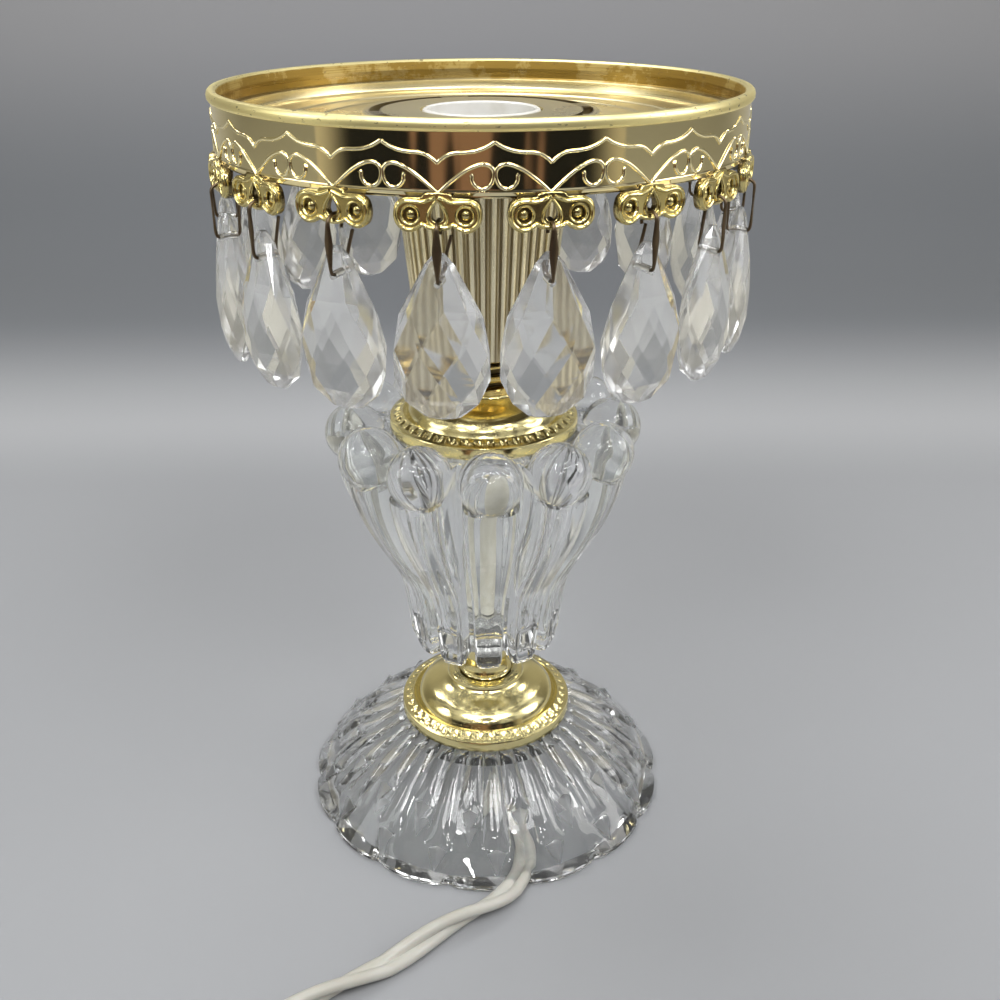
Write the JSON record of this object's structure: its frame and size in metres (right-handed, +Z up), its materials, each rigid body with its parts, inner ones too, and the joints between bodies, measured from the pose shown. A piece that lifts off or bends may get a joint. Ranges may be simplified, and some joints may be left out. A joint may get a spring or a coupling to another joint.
{
  "type": "table lamp",
  "caption": "Boudoir table lamp with a pressed glass base and vase, brass collars and a gold gallery ring hung with teardrop crystals on wire pins.",
  "frame": {"origin": "on the table under the middle of the base, on the axis of the threaded pipe", "axes": "+Z up along the threaded pipe, -Y towards the viewer and the way the cord leaves, +X to the viewer's right"},
  "size_m": [0.1522, 0.3189, 0.2262],
  "materials": {
    "pressed_glass": "clear pressed glass, polished",
    "crystal": "clear faceted crystal",
    "gold_plate": "worn bright pale gold plate",
    "brass_casting": "polished yellow cast brass",
    "neck_brass": "blackened brass with bright rings",
    "steel_hardware": "plain zinc-plated steel",
    "gasket_rubber": "black rubber",
    "rod_sleeve": "off-white card tube",
    "porcelain": "white glazed porcelain",
    "shell_aluminium": "bare rolled aluminium",
    "contact_brass": "bare sheet brass",
    "pin_bronze": "dark tarnished wire",
    "cord_ivory": "ivory vinyl flex",
    "switch_ivory": "ivory moulded plastic"
  },
  "bodies": {
    "lamp": {"base_dish": "pressed_glass", "base_nut": "steel_hardware", "threaded_pipe": "steel_hardware", "lower_collar": "brass_casting", "lower_spindle": "brass_casting", "vase_gasket": "gasket_rubber", "glass_vase": "pressed_glass", "vase_nut": "steel_hardware", "rod_sleeve": "rod_sleeve", "upper_collar": "brass_casting", "upper_neck": "neck_brass", "fluted_cover": "gold_plate", "socket_body": "porcelain", "screw_shell": "shell_aluminium", "centre_contact": "contact_brass", "gallery_ring": "gold_plate", "cord_to_switch": "cord_ivory", "switch_body": "switch_ivory", "cord_to_coil": "cord_ivory", "cord_coil": "cord_ivory", "plug_body": "switch_ivory", "plug_blade_wide": "contact_brass", "plug_blade_narrow": "contact_brass"},
    "wheel": {"switch_wheel": "switch_ivory"},
    "drop_01": {"drop_pin_01": "pin_bronze", "crystal_drop_01": "crystal"},
    "drop_02": {"drop_pin_02": "pin_bronze", "crystal_drop_02": "crystal"},
    "drop_03": {"drop_pin_03": "pin_bronze", "crystal_drop_03": "crystal"},
    "drop_04": {"drop_pin_04": "pin_bronze", "crystal_drop_04": "crystal"},
    "drop_05": {"drop_pin_05": "pin_bronze", "crystal_drop_05": "crystal"},
    "drop_06": {"drop_pin_06": "pin_bronze", "crystal_drop_06": "crystal"},
    "drop_07": {"drop_pin_07": "pin_bronze", "crystal_drop_07": "crystal"},
    "drop_08": {"drop_pin_08": "pin_bronze", "crystal_drop_08": "crystal"},
    "drop_09": {"drop_pin_09": "pin_bronze", "crystal_drop_09": "crystal"},
    "drop_10": {"drop_pin_10": "pin_bronze", "crystal_drop_10": "crystal"},
    "drop_11": {"drop_pin_11": "pin_bronze", "crystal_drop_11": "crystal"},
    "drop_12": {"drop_pin_12": "pin_bronze", "crystal_drop_12": "crystal"},
    "drop_13": {"drop_pin_13": "pin_bronze", "crystal_drop_13": "crystal"},
    "drop_14": {"drop_pin_14": "pin_bronze", "crystal_drop_14": "crystal"},
    "drop_15": {"drop_pin_15": "pin_bronze", "crystal_drop_15": "crystal"},
    "drop_16": {"drop_pin_16": "pin_bronze", "crystal_drop_16": "crystal"},
    "drop_17": {"drop_pin_17": "pin_bronze", "crystal_drop_17": "crystal"},
    "drop_18": {"drop_pin_18": "pin_bronze", "crystal_drop_18": "crystal"}
  },
  "joints": [
    {"name": "swing_01", "type": "hinge", "parent": "lamp", "child": "drop_01", "pos_m": [0.01465, -0.06774, 0.2052], "axis": [-0.9774, -0.2113, 0], "range_deg": [-8, 30]},
    {"name": "swing_02", "type": "hinge", "parent": "lamp", "child": "drop_02", "pos_m": [0.03693, -0.05864, 0.2052], "axis": [-0.8462, -0.5329, 0], "range_deg": [-8, 30]},
    {"name": "swing_03", "type": "hinge", "parent": "lamp", "child": "drop_03", "pos_m": [0.05476, -0.04247, 0.2052], "axis": [-0.6129, -0.7902, 0], "range_deg": [-8, 30]},
    {"name": "swing_04", "type": "hinge", "parent": "lamp", "child": "drop_04", "pos_m": [0.06598, -0.02118, 0.2052], "axis": [-0.3057, -0.9521, 0], "range_deg": [-8, 30]},
    {"name": "swing_05", "type": "hinge", "parent": "lamp", "child": "drop_05", "pos_m": [0.06925, 0.00266, 0.2052], "axis": [0.0384, -0.9993, 0], "range_deg": [-8, 30]},
    {"name": "swing_06", "type": "hinge", "parent": "lamp", "child": "drop_06", "pos_m": [0.06416, 0.02618, 0.2052], "axis": [0.3778, -0.9259, 0], "range_deg": [-8, 30]},
    {"name": "swing_07", "type": "hinge", "parent": "lamp", "child": "drop_07", "pos_m": [0.05134, 0.04655, 0.2052], "axis": [0.6717, -0.7408, 0], "range_deg": [-8, 30]},
    {"name": "swing_08", "type": "hinge", "parent": "lamp", "child": "drop_08", "pos_m": [0.03232, 0.0613, 0.2052], "axis": [0.8846, -0.4664, 0], "range_deg": [-8, 30]},
    {"name": "swing_09", "type": "hinge", "parent": "lamp", "child": "drop_09", "pos_m": [0.00941, 0.06866, 0.2052], "axis": [0.9907, -0.1357, 0], "range_deg": [-8, 30]},
    {"name": "swing_10", "type": "hinge", "parent": "lamp", "child": "drop_10", "pos_m": [-0.01465, 0.06774, 0.2052], "axis": [0.9774, 0.2113, 0], "range_deg": [-8, 30]},
    {"name": "swing_11", "type": "hinge", "parent": "lamp", "child": "drop_11", "pos_m": [-0.03693, 0.05864, 0.2052], "axis": [0.8462, 0.5329, 0], "range_deg": [-8, 30]},
    {"name": "swing_12", "type": "hinge", "parent": "lamp", "child": "drop_12", "pos_m": [-0.05476, 0.04247, 0.2052], "axis": [0.6129, 0.7902, 0], "range_deg": [-8, 30]},
    {"name": "swing_13", "type": "hinge", "parent": "lamp", "child": "drop_13", "pos_m": [-0.06598, 0.02118, 0.2052], "axis": [0.3057, 0.9521, 0], "range_deg": [-8, 30]},
    {"name": "swing_14", "type": "hinge", "parent": "lamp", "child": "drop_14", "pos_m": [-0.06925, -0.00266, 0.2052], "axis": [-0.0384, 0.9993, 0], "range_deg": [-8, 30]},
    {"name": "swing_15", "type": "hinge", "parent": "lamp", "child": "drop_15", "pos_m": [-0.06416, -0.02618, 0.2052], "axis": [-0.3778, 0.9259, 0], "range_deg": [-8, 30]},
    {"name": "swing_16", "type": "hinge", "parent": "lamp", "child": "drop_16", "pos_m": [-0.05134, -0.04655, 0.2052], "axis": [-0.6717, 0.7408, 0], "range_deg": [-8, 30]},
    {"name": "swing_17", "type": "hinge", "parent": "lamp", "child": "drop_17", "pos_m": [-0.03232, -0.0613, 0.2052], "axis": [-0.8846, 0.4664, 0], "range_deg": [-8, 30]},
    {"name": "swing_18", "type": "hinge", "parent": "lamp", "child": "drop_18", "pos_m": [-0.00941, -0.06866, 0.2052], "axis": [-0.9907, 0.1357, 0], "range_deg": [-8, 30]},
    {"name": "wheel_turn", "type": "hinge", "parent": "lamp", "child": "wheel", "pos_m": [-0.0626, -0.147, 0.006], "axis": [0, 0, 1], "continuous": true}
  ]
}
